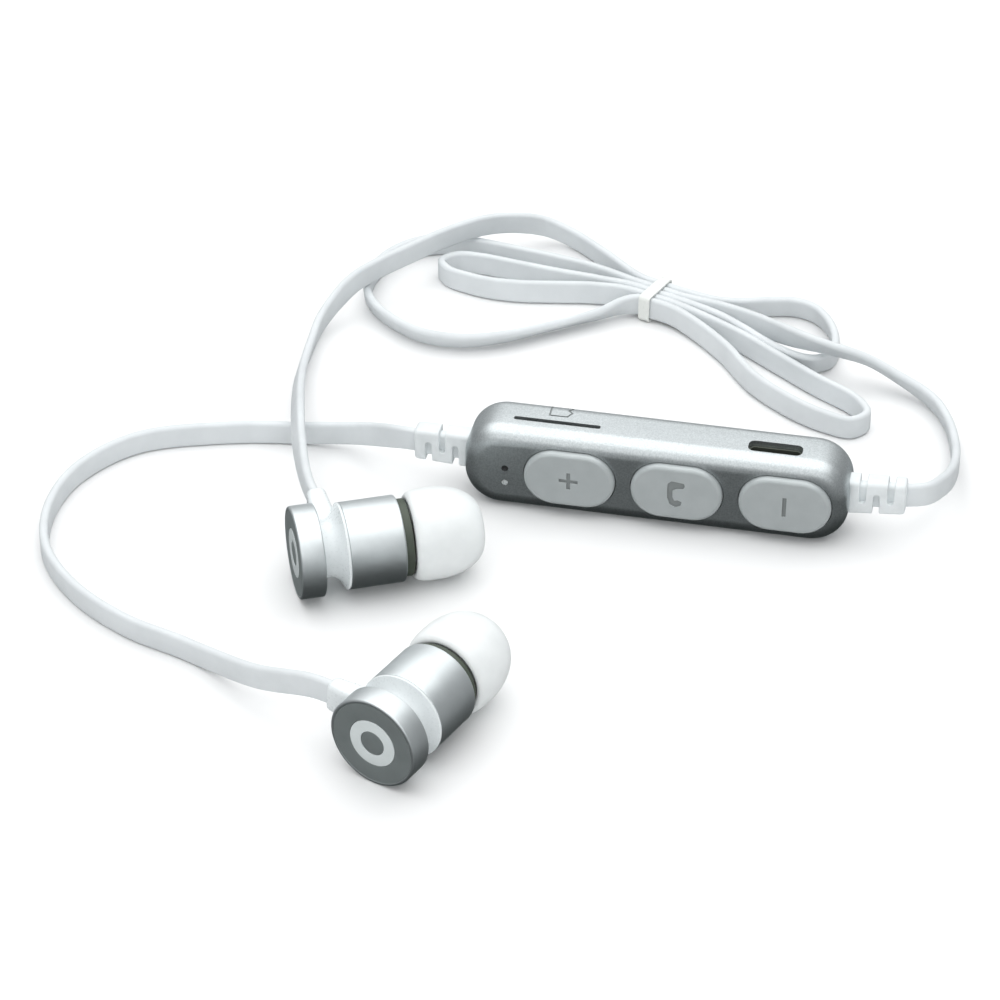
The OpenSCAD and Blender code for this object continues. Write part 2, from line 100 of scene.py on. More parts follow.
# Cable routes: x, y, height of the underside over the table, lean of the flat side from upright
SHORT_ROUTE = [
    (-29.9, -58.1, 5.1, 0), (-34, -56.5, 4.9, 0), (-42.5, -52.8, 2.2, 0), (-52.5, -47, 0, 0),
    (-63, -43.2, 0, 0), (-71.8, -37.5, 0, 0), (-78.2, -29.8, 0, 0), (-80.8, -20.5, 0, 0),
    (-79.8, -11, 0, 0), (-74, -2.2, 0, 0), (-64, 2.4, 0, 0), (-53, 4.8, 0, 0),
    (-43.5, 4.6, 1.4, 0), (-36.5, 0.5, 4.5, 0), (-32.5, 0, 4.7, 0)]
LONG_ROUTE = [
    # out of the box, round behind it and over the right-hand loops
    (32.5, 0, 4.95, 0), (36.4, 0.9, 5.1, 0), (38.5, 5, 4.2, 0), (39.4, 11.5, 2.2, 0), (39, 19.5, 0.4, 3),
    (37.2, 26.8, 0, 12), (34.3, 32, 0, 20), (29.4, 35.6, 0.8, 35), (24.5, 37, 2.5, 43), (18.9, 37.2, 3.6, 35),
    (14.4, 38.7, 3.5, 18), (9.7, 43, 2, 0), (5.5, 46.4, 0.9, -8), (1.1, 48.5, 0.6, -5),
    # first pass through the tie, then the wide loop on its left
    (-4.6, 50, 0.5, 0), (-8.6, 51.5, 0.5, 0), (-12.5, 52.9, 0.5, 0),
    (-18.7, 56.3, 0, 0), (-25.1, 58, 0, 0), (-31.6, 59.2, 0, 0), (-39.1, 60.4, 0, 0), (-44.2, 60.4, 0, 0),
    (-48.2, 58.2, 0, 0), (-51, 54.4, 0, 0), (-52.4, 49.6, 0, 0), (-52.2, 45, 0, -4), (-50.7, 41.4, 0, -15),
    (-47.8, 37.9, 0, -25), (-41.4, 33.9, 0, -30), (-35.3, 33.6, 0, -35), (-29.7, 35.7, 0, -40),
    (-21.9, 41.4, 0, -48), (-17, 45, 0, -40), (-13.4, 47.6, 0.4, -18), (-11.35, 48.32, 0.5, -5),
    # second pass, then the big loop on its right
    (-9.85, 47.9, 0.5, 0), (-5.9, 46.5, 0.5, 0), (-2.9, 44.6, 0.2, 6),
    (2.9, 39, 0, 10), (9, 30.9, 0, 10), (16.3, 25.2, 0, 10), (20.6, 23.2, 0, 6), (24, 22.6, 0, 2),
    (25.9, 25, 0, 0), (23.8, 28.4, 0, -6), (17.5, 32.7, 0, -8), (11, 37.6, 0, -8), (4.3, 42.6, 0, -8),
    # third pass, then the narrow loop on its left
    (-5.5, 47.7, 0.5, 0), (-9.4, 49.1, 0.5, 0), (-13.4, 50.4, 0.4, -3),
    (-17.6, 51, 0, -8), (-23.5, 50.1, 0, -8), (-29.5, 49.1, 0, -8), (-34.1, 49.1, 0, -6),
    (-37.8, 49.9, 0, -3),
    (-41, 51.2, 0, 0), (-42.6, 53.5, 0, 0), (-40.7, 55.7, 0, 0), (-36.9, 55.8, 0, 3), (-30.6, 54.8, 0, 4),
    (-24.1, 53.8, 0, 4), (-17.9, 53.1, 0, 3),
    # fourth pass, then the upright loop on its right, under the first run
    (-12.9, 51.7, 0.5, 0), (-9, 50.3, 0.5, 0), (-5.1, 48.9, 0.5, 0),
    (0.9, 46.7, 0.2, 0), (5, 44.2, 0, -3), (8.5, 41.4, 0, -5), (11.5, 39.4, 0, -12), (14.5, 38.2, 0, -20),
    (16.8, 38.1, 0, -20), (18.6, 39.5, 0, -12), (19.2, 42, 0, 0), (18.8, 45.4, 0, 8), (17.4, 49, 0, 12),
    (15.2, 51.8, 0, 12), (12.2, 53.1, 0, 12), (8, 52.5, 0, 12), (4.2, 51.3, 0, 8), (0.3, 50.6, 0.2, 3),
    # fifth pass, the long arch over the wide loop, over the short cable and into the left bud
    (-4.15, 51.3, 0.5, 0), (-8.1, 52.7, 0.5, 0), (-12.05, 54.4, 0.5, 0),
    (-18.6, 61, 0.1, 5), (-24.6, 65.9, 0.2, 8), (-29, 66.8, 1.2, 8), (-33.3, 64.3, 2.8, 5),
    (-37.9, 60.9, 3.7, 2),
    (-42.9, 55.9, 3.7, 0), (-46.9, 50.8, 3.6, 0), (-50.6, 44.9, 3.85, 0), (-53.2, 40.8, 3.5, 0),
    (-55.3, 37.4, 1.8, 2), (-56.6, 33, 0.4, 6), (-56.6, 27.8, 0, 12), (-55.9, 20, 0.5, 18),
    (-54.2, 12, 2.2, 20),
    (-52.2, 4.4, 3.8, 20), (-50.1, -2.8, 4.3, 18), (-47.4, -10.5, 5, 10), (-45.2, -15.8, 5.8, 3),
    (-43.3, -19.3, 6, 0)]


# ---------- Camera ----------

def make_camera():
    """A long lens, 35 degrees above the table and a little to the right of the button face."""
    data = bpy.data.cameras.new("camera")
    data.lens = 118.4
    data.sensor_width = 36
    data.clip_start = 0.01
    camera = bpy.data.objects.new("camera", data)
    bpy.context.scene.collection.objects.link(camera)
    place = Vector((55.98, -367.57, 261.08)) * MM
    target = Vector((-20.66, -7.01, 2.97)) * MM
    camera.location = place
    camera.rotation_euler = (target - place).to_track_quat("-Z", "Y").to_euler()
    bpy.context.scene.camera = camera


# ---------- Material nodes ----------

class Nodes:
    """A material's node tree with short calls for what the finishes below need."""

    def __init__(self, name):
        self.material = bpy.data.materials.new(name)
        self.material.use_nodes = True
        self.tree = self.material.node_tree
        self.shader = self.tree.nodes["Principled BSDF"]
        self.place = self.tree.nodes.new("ShaderNodeTexCoord").outputs["Object"]

    def link(self, start, end):
        self.tree.links.new(start, end)

    def noise(self, scale, detail=3.0):
        """Noise with features about 1/scale metres across."""
        node = self.tree.nodes.new("ShaderNodeTexNoise")
        node.inputs["Scale"].default_value = scale
        node.inputs["Detail"].default_value = detail
        self.link(self.place, node.inputs["Vector"])
        return node.outputs["Fac"]

    def rings(self, direction, scale):
        """Fine turning marks: noise that changes only along a direction."""
        dot = self.tree.nodes.new("ShaderNodeVectorMath")
        dot.operation = "DOT_PRODUCT"
        dot.inputs[1].default_value = direction
        self.link(self.place, dot.inputs[0])
        node = self.tree.nodes.new("ShaderNodeTexNoise")
        node.noise_dimensions = "1D"
        node.inputs["Scale"].default_value = scale
        node.inputs["Detail"].default_value = 4.0
        self.link(dot.outputs["Value"], node.inputs["W"])
        return node.outputs["Fac"]

    def spread(self, value, low, high):
        """Stretch a noise's middle range over low to high."""
        node = self.tree.nodes.new("ShaderNodeMapRange")
        node.inputs["From Min"].default_value = 0.3
        node.inputs["From Max"].default_value = 0.7
        node.inputs["To Min"].default_value = low
        node.inputs["To Max"].default_value = high
        self.link(value, node.inputs["Value"])
        return node.outputs["Result"]

    def tint(self, value, dark, light):
        """Colour from dark to light over a noise's middle range."""
        ramp = self.tree.nodes.new("ShaderNodeValToRGB")
        ramp.color_ramp.elements[0].position = 0.3
        ramp.color_ramp.elements[0].color = (*dark, 1)
        ramp.color_ramp.elements[1].position = 0.7
        ramp.color_ramp.elements[1].color = (*light, 1)
        self.link(value, ramp.inputs["Fac"])
        self.link(ramp.outputs["Color"], self.shader.inputs["Base Color"])

    def roughen(self, value, low, high):
        """Roughness from low to high over a noise's middle range."""
        self.link(self.spread(value, low, high), self.shader.inputs["Roughness"])

    def bumps(self, *layers):
        """Each layer is a noise and the height of its relief in metres."""
        normal = None
        for value, height in layers:
            bump = self.tree.nodes.new("ShaderNodeBump")
            bump.inputs["Distance"].default_value = height
            bump.inputs["Strength"].default_value = 1.0
            self.link(value, bump.inputs["Height"])
            if normal:
                self.link(normal, bump.inputs["Normal"])
            normal = bump.outputs["Normal"]
        self.link(normal, self.shader.inputs["Normal"])

    def set(self, **values):
        """Constants of the shader, by its sockets' names in small letters."""
        for key, value in values.items():
            name = "IOR" if key == "ior" else key.replace("_", " ").title()
            self.shader.inputs[name].default_value = value


def shade(colour, factor):
    return tuple(c * factor for c in colour)


def plain_finish(name, colour, rough, metal=0.0, grain=3000.0, relief=0.000006, contrast=0.06, **settings):
    """Moulded or stamped surfaces: slight mottling, fine grain and uneven gloss."""
    n = Nodes(name)
    mottle = n.noise(grain / 8)
    fine = n.noise(grain)
    n.tint(mottle, shade(colour, 1 - contrast), shade(colour, 1 + contrast))
    n.roughen(fine, rough[0], rough[1])
    n.bumps((fine, relief))
    n.set(metallic=metal, **settings)
    return n.material


def case_finish(name, rough, relief):
    """Satin silver paint with fine flake and a sprayed grain."""
    n = Nodes(name)
    flake = n.noise(4500.0, 2.0)
    n.tint(flake, (0.48, 0.515, 0.525), (0.62, 0.655, 0.665))
    n.roughen(n.noise(3500.0), rough[0], rough[1])
    n.bumps((n.noise(700.0, 2.0), relief), (flake, relief / 3))
    n.set(metallic=1.0, coat_weight=0.1, coat_roughness=0.4)
    return n.material


def button_finish():
    """Light grey plastic with a pearly paint."""
    n = Nodes("button_grey")
    fine = n.noise(5000.0)
    n.tint(n.noise(500.0), (0.45, 0.485, 0.49), (0.48, 0.515, 0.52))
    n.roughen(fine, 0.38, 0.5)
    n.bumps((fine, 0.000005))
    n.set(metallic=0.25, coat_weight=0.1, coat_roughness=0.4)
    return n.material


def cable_finish():
    """Matte white elastomer with faint extrusion streaks and a trace of handling."""
    n = Nodes("cable_white")
    fine = n.noise(4000.0)
    n.tint(n.noise(250.0), (0.655, 0.685, 0.70), (0.705, 0.735, 0.75))
    n.roughen(fine, 0.42, 0.55)
    n.bumps((n.noise(400.0), 0.00003), (fine, 0.000006))
    n.set(subsurface_weight=0.08, subsurface_radius=(0.001, 0.001, 0.001), subsurface_scale=0.5)
    return n.material


def turned_finish(name, bud, colour, rough, metal=1.0):
    """Turned aluminium: fine rings round the bud's axis, uneven gloss and faint mottling."""
    heading = math.radians(bud[2])
    axis = (math.cos(heading), math.sin(heading), 0)
    n = Nodes(name)
    marks = n.rings(axis, 16000.0)
    n.tint(n.noise(400.0), shade(colour, 0.95), shade(colour, 1.04))
    n.roughen(marks, rough[0], rough[1])
    n.bumps((marks, 0.0000005), (n.noise(6000.0), 0.0000015))
    n.set(metallic=metal)
    return n.material


def silicone_finish():
    """Translucent white silicone with a soft sheen."""
    n = Nodes("tip_silicone")
    n.tint(n.noise(300.0), (0.80, 0.83, 0.83), (0.86, 0.89, 0.89))
    n.roughen(n.noise(2500.0), 0.28, 0.4)
    n.bumps((n.noise(700.0), 0.000015))
    n.set(subsurface_weight=0.35, subsurface_radius=(0.0015, 0.0015, 0.0015), subsurface_scale=0.8,
          sheen_weight=0.15)
    return n.material


def tie_finish():
    """Soft cloudy plastic, a little yellow."""
    n = Nodes("tie_clear")
    n.tint(n.noise(300.0), (0.76, 0.78, 0.75), (0.82, 0.84, 0.81))
    n.roughen(n.noise(1500.0), 0.25, 0.35)
    n.bumps((n.noise(500.0), 0.000005))
    n.set(ior=1.4, coat_weight=0.2)
    return n.material


def board_finish():
    """Green solder mask with paler copper runs under it."""
    n = Nodes("board_green")
    runs = n.tree.nodes.new("ShaderNodeTexBrick")
    runs.inputs["Scale"].default_value = 500.0
    runs.inputs["Color1"].default_value = (0.02, 0.14, 0.06, 1)
    runs.inputs["Color2"].default_value = (0.03, 0.18, 0.08, 1)
    runs.inputs["Mortar"].default_value = (0.06, 0.30, 0.14, 1)
    n.link(n.place, runs.inputs["Vector"])
    n.link(runs.outputs["Color"], n.shader.inputs["Base Color"])
    n.roughen(n.noise(2000.0), 0.25, 0.4)
    n.bumps((runs.outputs["Fac"], 0.00002))
    return n.material


# ---------- Mesh helpers, in millimetres ----------

def make_object(name, verts, faces, material, crease=40.0):
    """A mesh object, smooth except over edges sharper than crease degrees."""
    mesh = bpy.data.meshes.new(name)
    mesh.from_pydata([Vector(v) * MM for v in verts], [], faces)
    mesh.validate()
    for face in mesh.polygons:
        face.use_smooth = True
    mesh.set_sharp_from_angle(angle=math.radians(crease))
    mesh.materials.append(material)
    thing = bpy.data.objects.new(name, mesh)
    bpy.context.scene.collection.objects.link(thing)
    return thing


def loft(rings, ends="caps"):
    """Quads between rings of equal length; ends are 'caps', 'open' or 'joined' into a closed loop."""
    m = len(rings[0])
    n = len(rings)
    verts = [p for ring in rings for p in ring]
    last = n if ends == "joined" else n - 1
    faces = []
    for i in range(last):
        for j in range(m):
            a, b = i * m + j, i * m + (j + 1) % m
            c, d = (i + 1) % n * m + (j + 1) % m, (i + 1) % n * m + j
            faces.append((a, b, c, d))
    if ends == "caps":
        faces.append(tuple(range(m - 1, -1, -1)))
        faces.append(tuple((n - 1) * m + j for j in range(m)))
    return verts, faces


def join(*parts):
    """Several (verts, faces) as one."""
    verts, faces = [], []
    for part_verts, part_faces in parts:
        base = len(verts)
        verts += part_verts
        faces += [tuple(base + k for k in face) for face in part_faces]
    return verts, faces


def fillet(points, closed=False, steps=5):
    """Round the corners of a flat line of (a, b, radius) points."""
    out = []
    n = len(points)
    for i, (a, b, r) in enumerate(points):
        inner = closed or 0 < i < n - 1
        if r <= 0 or not inner:
            out.append((a, b))
            continue
        here = Vector((a, b))
        back = (Vector(points[i - 1][:2]) - here).normalized()
        ahead = (Vector(points[(i + 1) % n][:2]) - here).normalized()
        half = back.angle(ahead) / 2
        reach = r / math.tan(half)
        centre = here + (back + ahead).normalized() * r / math.sin(half)
        start, end = here + back * reach - centre, here + ahead * reach - centre
        turn = start.angle_signed(end)
        for k in range(steps + 1):
            angle = -turn * k / steps
            c, s = math.cos(angle), math.sin(angle)
            out.append((centre.x + start.x * c - start.y * s, centre.y + start.x * s + start.y * c))
    return out


def rounded_rect(w, h, r, steps=8):
    """Outline of a rounded rectangle as (a, b) points, anticlockwise."""
    points = []
    for ca, cb, start in ((1, 1, 0), (-1, 1, 90), (-1, -1, 180), (1, -1, 270)):
        for k in range(steps + 1):
            t = math.radians(start + 90 * k / steps)
            points.append((ca * (w / 2 - r) + r * math.cos(t), cb * (h / 2 - r) + r * math.sin(t)))
    return points


def stadium(w, h, steps=20):
    return rounded_rect(w, h, h / 2 - 0.001, steps)


def at_y(outline, y, x=0.0):
    """A flat outline stood up in the XZ plane at a depth, about the box's middle height."""
    return [Vector((x + a, y, MID_Z + b)) for a, b in outline]


def lathe(profile, segments=96, closed=False):
    """Turn a profile of (s, r) points about the axis; r = 0 ends are closed by poles."""
    rings = [[Vector((r * math.cos(t), r * math.sin(t), s))
              for t in (2 * math.pi * k / segments for k in range(segments))] for s, r in profile]
    return loft(rings, "joined" if closed else "caps")


def place_bud(bud, verts):
    """Stand points drawn along a bud's axis, +Z from the cap's face, on the table."""
    heading = math.radians(bud[2])
    along = Vector((math.cos(heading), math.sin(heading), 0))
    across = Vector((-math.sin(heading), math.cos(heading), 0))
    origin = Vector((bud[0], bud[1], CAP_R))
    return [origin + along * v[2] + across * v[1] - Vector((0, 0, v[0])) for v in verts]


def bevel(thing, width, segments=2, angle=50.0):
    modifier = thing.modifiers.new("soft_edges", "BEVEL")
    modifier.width = width * MM
    modifier.segments = segments
    modifier.limit_method = "ANGLE"
    modifier.angle_limit = math.radians(angle)
    modifier.use_clamp_overlap = True
    modifier.harden_normals = True


def cut(thing, parts, material=None):
    """Take closed cutters out of a mesh, and keep the result; a material colours the cut."""
    verts, faces = join(*parts)
    cutter = make_object(thing.name + "_cutter", verts, faces, material or thing.data.materials[0])
    modifier = thing.modifiers.new("cut", "BOOLEAN")
    modifier.material_mode = "TRANSFER"
    modifier.operation = "DIFFERENCE"
    modifier.solver = "EXACT"
    modifier.use_self = False
    modifier.object = cutter
    bpy.context.view_layer.update()
    evaluated = thing.evaluated_get(bpy.context.evaluated_depsgraph_get())
    mesh = bpy.data.meshes.new_from_object(evaluated)
    thing.modifiers.clear()
    old = thing.data
    thing.data = mesh
    bpy.data.meshes.remove(old)
    bpy.data.objects.remove(cutter)
    mesh.set_sharp_from_angle(angle=math.radians(40))


def settle(thing, body, slot, *nodes):
    """Say what a finished piece rides on and which CAD nodes it stands for; the slot is not used."""
    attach(thing, body)
    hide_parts(*nodes)


# ---------- Cables ----------

RING_STEP = 0.9


def blend_point(a, b, ta, tb, t):
    k = (t - ta) / (tb - ta)
    return [x + (y - x) * k for x, y in zip(a, b)]


def curve_point(a, b, c, d, u):
    """A centripetal Catmull-Rom curve through b and c, at fraction u between them."""
    t1 = math.sqrt(math.dist(a[:3], b[:3]))
    t2 = t1 + math.sqrt(math.dist(b[:3], c[:3]))
    t3 = t2 + math.sqrt(math.dist(c[:3], d[:3]))
    t = t1 + (t2 - t1) * u
    ab = blend_point(a, b, 0, t1, t)
    bc = blend_point(b, c, t1, t2, t)
    cd = blend_point(c, d, t2, t3, t)
    return blend_point(blend_point(ab, bc, 0, t2, t), blend_point(bc, cd, t1, t3, t), t1, t2, t)


def cable_centres(route):
    """The cable's centre and lean all along its route."""
    first = [2 * a - b for a, b in zip(route[0], route[1])]
    last = [2 * a - b for a, b in zip(route[-1], route[-2])]
    points = [first, *route, last]
    found = []
    for i in range(1, len(points) - 2):
        n = max(2, round(math.dist(points[i][:3], points[i + 1][:3]) / RING_STEP))
        found += [curve_point(*points[i - 1:i + 3], k / n) for k in range(n)]
    found.append(list(route[-1]))
    centres = []
    for x, y, lift, lean in found:
        angle = math.radians(lean)
        half = CABLE_W / 2 * abs(math.cos(angle)) + CABLE_T / 2 * abs(math.sin(angle))
        centres.append((Vector((x, y, max(lift, 0) + half)), angle))
    return centres


def cable_mesh(centres):
    """A flat band with rounded edges swept along the centres."""
    outline = rounded_rect(CABLE_W, CABLE_T, CABLE_EDGE_R, 4)
    rings = []
    for i, (centre, lean) in enumerate(centres):
        before = centres[max(i - 1, 0)][0]
        after = centres[min(i + 1, len(centres) - 1)][0]
        run = (after - before).normalized()
        side = Vector((-run.y, run.x, 0)).normalized()
        up = run.cross(side)
        wide = up * math.cos(lean) + side * math.sin(lean)
        thick = side * math.cos(lean) - up * math.sin(lean)
        rings.append([centre + wide * a + thick * b for a, b in outline])
    return loft(rings)


def make_cable(name, route, material, node):
    """A cable along its route, leaving the box in its relief."""
    centres = cable_centres(route)
    verts, faces = cable_mesh(centres)
    cable = make_object(name, verts, faces, material, crease=60)
    settle(cable, "earphones", "cable_white", node)


def relief_point(side, u, y, z):
    """A point of a strain relief: u along it from the box's end, z over its own rising middle."""
    rise = RELIEF_RISE[side] * max(u, 0) / RELIEF_L
    return Vector((side * (BOX_L / 2 + u), side * y, MID_Z + rise + z))


def relief_bar(side, w0, w1, t, r, stations):
    """A soft bar along a relief, w0 tall at the box and w1 at its end, with inset (u, inset) stations."""
    rings = []
    for u, inset in stations:
        tall = w0 + (w1 - w0) * max(u, 0) / RELIEF_L
        outline = rounded_rect(t - 2 * inset, tall - 2 * inset, r, 5)
        rings.append([relief_point(side, u, y, z) for y, z in outline])
    return loft(rings)


def relief_slot(side, k):
    """A cutter for the k-th slot, round at its inner end and open at the top or the bottom by turns."""
    up = side * (-1 if k == 1 else 1)
    middle = SLOT_FIRST + SLOT_PITCH * k
    half = SLOT_W / 2
    outline = [(middle + half * math.cos(t), -up * (SLOT_PAST + half * math.sin(t)))
               for t in (math.pi * j / 10 for j in range(11))]
    outline += [(middle - half - SLOT_FLARE, up * RELIEF_W), (middle + half + SLOT_FLARE, up * RELIEF_W)]
    if up < 0:
        outline = outline[::-1]
    rings = [[relief_point(side, u, y, z) for u, z in outline] for y in (-RELIEF_T, RELIEF_T)]
    return loft(rings)


def make_relief(side, name, finishes):
    """A flexible strain relief: soft slotted blocks round a core that shows in the slots."""
    end = RELIEF_L
    blocks = [(-RELIEF_IN, 0), (0, 0), (end - 0.5, 0), (end - 0.2, 0.06), (end - 0.05, 0.2), (end, 0.4)]
    verts, faces = relief_bar(side, RELIEF_W, RELIEF_END_W, RELIEF_T, 0.6, blocks)
    piece = make_object(f"relief_{name}", verts, faces, finishes["relief"], crease=50)
    cut(piece, [relief_slot(side, k) for k in range(3)])
    bevel(piece, 0.16, segments=3)
    settle(piece, "earphones", "cable_white", f"{name}_strain_relief")
    verts, faces = relief_bar(side, CORE_W, CORE_W, CORE_T, 0.5, [(0.2, 0), (end - 0.6, 0)])
    core = make_object(f"relief_core_{name}", verts, faces, finishes["relief"], crease=50)
    settle(core, "earphones", "cable_white")
    return piece


def make_cables(finishes):
    """Both strain reliefs, and each one's cable from a little inside its end."""
    reliefs = {side: make_relief(side, name, finishes) for side, name in ((-1, "left"), (1, "right"))}
    white = finishes["cable"]
    make_cable("cable_short", SHORT_ROUTE[::-1], white, "short_cable")
    make_cable("cable_long", LONG_ROUTE, white, "long_cable")


def make_tie(finishes):
    """A plain band round the five strands."""
    low, high = TIE_Z
    middle = (low + high) / 2
    tall = high - low
    turn = math.radians(TIE_TURN)
    along = Vector((math.cos(turn), math.sin(turn), 0))
    across = Vector((-math.sin(turn), math.cos(turn), 0))
    centre = Vector((TIE_AT[0], TIE_AT[1], middle))
    rings = []
    corner = 0.4
    for grow, shift in ((0, -0.5), (TIE_WALL, -0.5), (TIE_WALL, 0.5), (0, 0.5)):
        outline = rounded_rect(TIE_IN_W + 2 * grow, tall + 2 * grow, corner + grow, 6)
        rings.append([centre + along * shift * TIE_L + across * a + Vector((0, 0, b)) for a, b in outline])
    verts, faces = loft(rings, "joined")
    band = make_object("bundle_tie", verts, faces, finishes["tie"])
    bevel(band, 0.08)
    settle(band, "earphones", "tie_clear", "cable_tie")


# ---------- Control box ----------

def box_ring(y, inset):
    """The box's outline at a depth, drawn in by an inset."""
    outline = rounded_rect(BOX_L - 2 * inset, BOX_H - 2 * inset, CORNER_R - inset, 20)
    return at_y(outline, y)


def shell_rings(face_y, wall_y):
    """Rings from the middle of the outside, over the soft edge, round the rim and back inside."""
    way = 1 if face_y < SPLIT_Y else -1
    arc = 12
    rings = [box_ring(face_y, EDGE_R + MERGE)]
    for k in range(arc + 1):
        t = math.pi / 2 * k / arc
        rings.append(box_ring(face_y + way * EDGE_R * (1 - math.cos(t)), EDGE_R * (1 - math.sin(t))))
    rings.append(box_ring(SPLIT_Y, 0))
    rings.append(box_ring(SPLIT_Y, WALL))
    rings.append(box_ring(wall_y, WALL))
    return rings if way < 0 else [ring[::-1] for ring in rings]


def prism(outline, y0, y1, x=0.0, z=0.0):
    """A flat outline carried through from depth y0 to y1."""
    rings = [[p + Vector((0, 0, z)) for p in at_y(outline, y, x)] for y in (y1, y0)]
    return loft(rings)


def slot_prism(w, t, r, x, z0, z1, steps=6):
    """An upright prism through the top edge, with a rounded outline w long and t wide."""
    outline = rounded_rect(w, t, r, steps)
    return loft([[Vector((x + a, SPLIT_Y + b, z)) for a, b in outline] for z in (z0, z1)])


def port_cutters():
    """Cutters for the two ports in the top edge."""
    deep = BOX_H - 2 * WALL
    high = BOX_H + 2
    return [slot_prism(USB_W, USB_T, USB_CORNER_R, USB_X, deep, high),
            slot_prism(CARD_W, CARD_T, CARD_CORNER_R, CARD_X, deep, high)]


def top_z(y):
    """Height of the box's upper surface, which rolls over towards the back."""
    over = max(0.0, y - (BOX_D / 2 - EDGE_R))
    return BOX_H - EDGE_R + math.sqrt(EDGE_R ** 2 - over ** 2)


def card_mark_cutters():
    """The outline of a small card with a notch in its side, engraved behind the slot over the rear edge."""
    stroke, depth = 0.26, 0.13
    corners = [(-1.35, 0.75), (1.1, 0.8), (1.6, 1.7), (1.1, 2.3), (1.5, 2.8), (1.5, 3.4), (-1.4, 3.4)]
    parts = []
    for i, start in enumerate(corners):
        a, b = Vector(start), Vector(corners[(i + 1) % len(corners)])
        run = (b - a).normalized()
        side = Vector((-run.y, run.x)) * stroke / 2
        a, b = a - run * stroke / 2, b + run * stroke / 2
        steps = max(1, round((b - a).length / 0.3))
        rings = []
        for k in range(steps + 1):
            p = a.lerp(b, k / steps)
            right, left = p - side, p + side
            rings.append([Vector((CARD_X + q.x, q.y, z)) for q, z in (
                (right, top_z(right.y) - depth), (left, top_z(left.y) - depth), (left, BOX_H + 1),
                (right, BOX_H + 1))])
        parts.append(loft(rings))
    return parts


def make_case(finishes):
    """The two shells with their openings, and the card sign on the rear one, its groove in painted shade."""
    rear_y = BOX_D / 2
    verts, faces = loft(shell_rings(FRONT_Y, FRONT_Y + WALL))
    front = make_object("case_front", verts, faces, finishes["case_front"])
    hole = stadium(BUTTON_L + 2 * BUTTON_GAP, BUTTON_H + 2 * BUTTON_GAP)
    cutters = [prism(hole, FRONT_Y - 1, FRONT_Y + WALL + 1, CALL_X + k * BUTTON_PITCH) for k in (-1, 0, 1)]
    pinhole = rounded_rect(2 * PINHOLE_R, 2 * PINHOLE_R, PINHOLE_R - 0.001, 6)
    cutters += [prism(pinhole, FRONT_Y - 1, FRONT_Y + WALL + 1, PINHOLE_X, z - MID_Z) for z in (MIC_Z, LED_Z)]
    cut(front, cutters + port_cutters())
    bevel(front, 0.09)
    settle(front, "earphones", "case_silver", "front_shell")

    verts, faces = loft(shell_rings(rear_y, rear_y - WALL))
    rear = make_object("case_rear", verts, faces, finishes["case_rear"])
    cut(rear, port_cutters())
    # the card sign's cut faces take painted shade: dark grey standing in for the shade inside the engraved
    # groove
    for part in card_mark_cutters():
        cut(rear, [part], finishes["mark"])
    bevel(rear, 0.09)
    settle(rear, "earphones", "case_silver", "rear_shell")


# ---------- Buttons ----------

def bar(w, h):
    """A plain upright rectangle about the middle."""
    return [(-w / 2, -h / 2), (w / 2, -h / 2), (w / 2, h / 2), (-w / 2, h / 2)]


def plus_mark():
    """A plus sign with arms of equal length."""
    arm, half = 1.3, 0.24
    return [(-half, -arm), (half, -arm), (half, -half), (arm, -half), (arm, half), (half, half),
            (half, arm), (-half, arm), (-half, half), (-arm, half), (-arm, -half), (-half, -half)]


def handset_mark():
    """A generic telephone handset stood on end: an upright grip with a piece out to the right at each end."""
    corners = [(0.0, -2.1), (0.7, -1.75), (0.85, -1.2), (0.3, -0.95), (-0.15, -1.1), (-0.45, -0.5),
               (-0.45, 0.6), (0.2, 0.95), (1.0, 1.0), (1.2, 1.4), (1.1, 1.85), (-0.6, 2.05), (-1.1, 1.6),
               (-1.15, 0.6), (-1.1, -0.7), (-0.75, -1.7)]
    return fillet([(a, b, 0.1) for a, b in corners], closed=True, steps=3)


def button_mesh(x):
    """A stadium key with a soft rim, a broad flat face and a flange behind the shell."""
    soft, lip, flange = 0.6, 0.45, 0.4
    back = FRONT_Y + WALL + flange + 0.02
    face = FRONT_Y - BUTTON_OUT
    stations = [(back, -lip), (back - flange, -lip), (back - flange, 0), (face + soft, 0)]
    arc = 8
    for k in range(1, arc + 1):
        t = math.pi / 2 * k / arc
        stations.append((face + soft * (1 - math.sin(t)), soft * (1 - math.cos(t))))
    stations.append((face, soft + 0.05))
    rings = [at_y(stadium(BUTTON_L - 2 * i, BUTTON_H - 2 * i), y, x) for y, i in stations]
    return loft(rings)


def make_buttons(finishes):
    """Three keys, each with its sign cut into the face, the cut in painted shade."""
    sign_deep = 0.2
    marks = {"plus": plus_mark(), "call": handset_mark(), "minus": bar(0.5, 3.0)}
    face = FRONT_Y - BUTTON_OUT
    for k, (name, mark) in enumerate(marks.items()):
        x = CALL_X + (k - 1) * BUTTON_PITCH
        verts, faces = button_mesh(x)
        key = make_object(f"key_{name}", verts, faces, finishes["button"])
        # the sign's cut faces take painted shade: dark grey standing in for the shade inside the engraved
        # groove
        cut(key, [prism(mark, face - 1, face + sign_deep, x)], finishes["mark"])
        bevel(key, 0.05)
        settle(key, f"{name}_key", "button_grey", f"{name}_button")


# ---------- Ports and pinholes ----------

